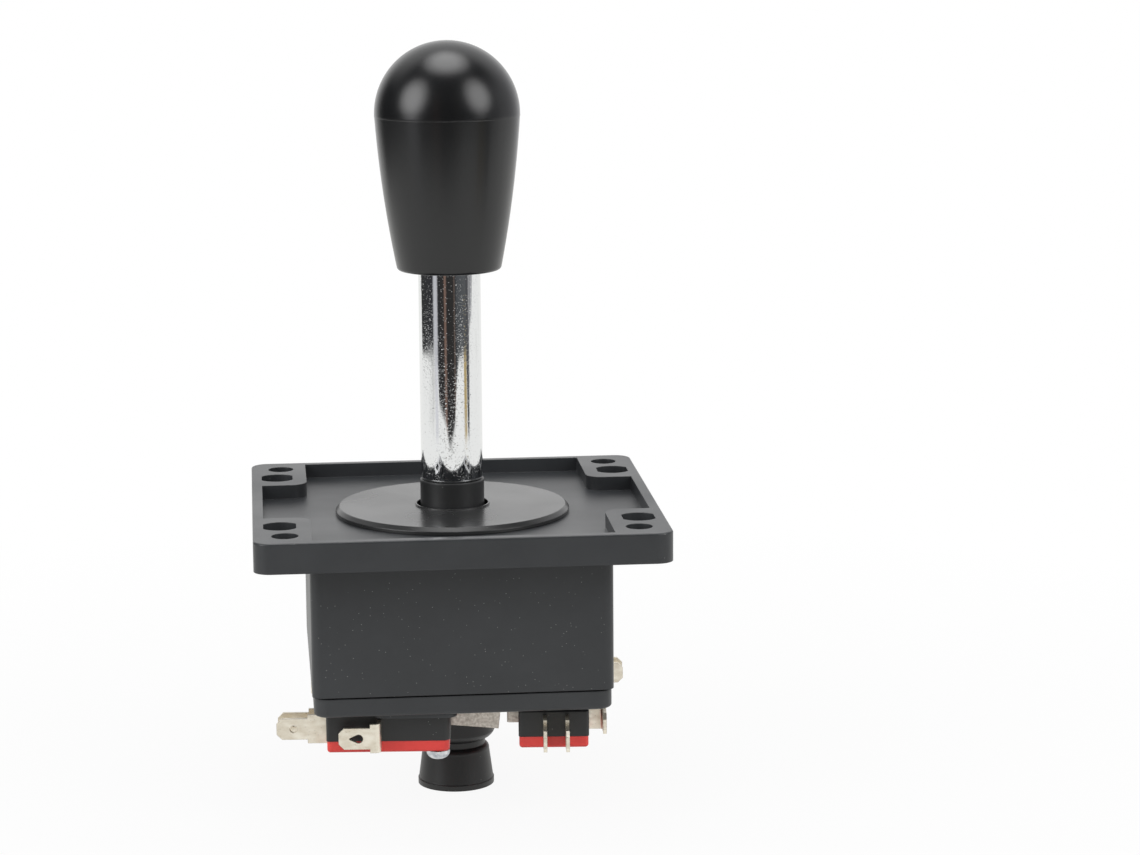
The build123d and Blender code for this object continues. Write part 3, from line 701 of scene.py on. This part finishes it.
def camera():
    """The photograph's camera, placed and turned as it was fitted."""
    data = bpy.data.cameras.new("camera")
    data.sensor_fit = "HORIZONTAL"
    data.sensor_width = SENSOR_MM
    data.lens = FOCAL_PX / PHOTO_W * SENSOR_MM
    forward = Vector((sin(YAW) * cos(PITCH), cos(YAW) * cos(PITCH), -sin(PITCH)))
    right = Vector((cos(YAW), -sin(YAW), 0.0))
    down = forward.cross(right)
    level_right = cos(ROLL) * right + sin(ROLL) * down
    level_down = -sin(ROLL) * right + cos(ROLL) * down
    obj = bpy.data.objects.new("camera", data)
    axes = Matrix((level_right, -level_down, -forward)).transposed().to_4x4()
    obj.matrix_world = Matrix.Translation(CAMERA_AT) @ axes
    bpy.context.scene.collection.objects.link(obj)
    bpy.context.scene.camera = obj


def soft_box(name, direction, size, radiance):
    """Oval light with a brighter core in front, so that its highlight fades towards the edge."""
    towards = Vector(direction).normalized()
    for part, share, level, near in LAMPS:
        data = bpy.data.lights.new(name + "_" + part, "AREA")
        data.shape = "ELLIPSE"
        data.size, data.size_y = share * size[0], share * size[1]
        data.energy = level * radiance * pi * pi / 4 * data.size * data.size_y
        obj = bpy.data.objects.new(data.name, data)
        obj.location = LIGHT_AIM + near * LIGHT_REACH * towards
        obj.rotation_euler = towards.to_track_quat("Z", "Y").to_euler()
        bpy.context.scene.collection.objects.link(obj)


def floor():
    """Pale table: white to the camera with a faint shadow, cut short in reflections, clear from below."""
    g = Graph(bpy.data.materials.new("pale_table"))
    tree = g.tree
    path = g.add("ShaderNodeLightPath")
    place = g.add("ShaderNodeSeparateXYZ")
    g.feed(place.inputs[0], g.place)
    away = g.add("ShaderNodeVectorMath", operation="LENGTH")
    g.feed(away.inputs[0], g.place)
    distance = away.outputs["Value"]
    bearing = g.bearing(place.outputs)
    edge = g.ramp(bearing, [(angle, grey(reach)) for angle, reach in TABLE_EDGE])
    beyond = g.span(g.math("SUBTRACT", distance, edge), -EDGE_BLUR, EDGE_BLUR)
    far = g.span(distance, *STRIPE_FADE)
    table = g.mix(far, TABLE_WHITE, g.ramp(bearing, TABLE))
    seen = g.mix(beyond, table, g.ramp(bearing, ROOM))
    glow = g.add("ShaderNodeEmission")
    glossy = path.outputs["Is Glossy Ray"]
    g.feed(glow.inputs["Color"], g.mix(glossy, grey(1.0), seen))
    matte = g.add("ShaderNodeBsdfDiffuse")
    g.feed(matte.inputs["Color"], grey(TABLE_MATTE))
    white = g.span(distance, *FLOOR_FADE, FLOOR_WHITE, 1.0)
    share = g.math("MAXIMUM", g.math("MULTIPLY", path.outputs["Is Camera Ray"], white), glossy)
    mixed = g.add("ShaderNodeMixShader")
    g.feed(mixed.inputs[0], share)
    tree.links.new(matte.outputs[0], mixed.inputs[1])
    tree.links.new(glow.outputs[0], mixed.inputs[2])
    clear = g.add("ShaderNodeBsdfTransparent")
    one_sided = g.add("ShaderNodeMixShader")
    g.feed(one_sided.inputs[0], g.add("ShaderNodeNewGeometry").outputs["Backfacing"])
    tree.links.new(mixed.outputs[0], one_sided.inputs[1])
    tree.links.new(clear.outputs[0], one_sided.inputs[2])
    tree.links.new(one_sided.outputs[0], tree.nodes["Material Output"].inputs["Surface"])
    tree.nodes.remove(g.bsdf)
    level = cad_box[0][2] - FLOOR_DROP
    mesh = bpy.data.meshes.new("floor")
    front = [(-FLOOR_HALF, -FLOOR_HALF, level), (FLOOR_HALF, -FLOOR_HALF, level)]
    back = [(FLOOR_HALF, FLOOR_BACK, level), (-FLOOR_HALF, FLOOR_BACK, level)]
    mesh.from_pydata(front + back, [], [(0, 1, 2, 3)])
    mesh.materials.append(g.owner)
    obj = bpy.data.objects.new("floor", mesh)
    bpy.context.scene.collection.objects.link(obj)


def world():
    """White to the camera, a soft grey fill, and a dark room with pale screens in reflections."""
    scene_world = bpy.data.worlds.new("studio")
    bpy.context.scene.world = scene_world
    g = Graph(scene_world)
    axes = g.add("ShaderNodeSeparateXYZ")
    g.feed(axes.inputs[0], g.coords["Generated"])
    above = g.span(axes.outputs["Z"], *UPPER_ROOM_Z)
    behind = g.span(axes.outputs["Y"], *BACKDROP_Y, ROOM_DARK, BACKDROP)
    mirrored = g.mix(above, g.ramp(g.bearing(axes.outputs), ROOM), behind)
    path = g.add("ShaderNodeLightPath")
    colour = g.mix(path.outputs["Is Glossy Ray"], grey(AMBIENT), mirrored)
    plain = g.math("MAXIMUM", path.outputs["Is Camera Ray"], path.outputs["Is Transmission Ray"])
    colour = g.mix(plain, colour, grey(1.0))
    g.feed(g.tree.nodes["Background"].inputs["Color"], colour)


camera()
floor()
world()
for box in SOFT_BOXES:
    soft_box(*box)
bpy.context.scene.view_settings.view_transform = "Standard"
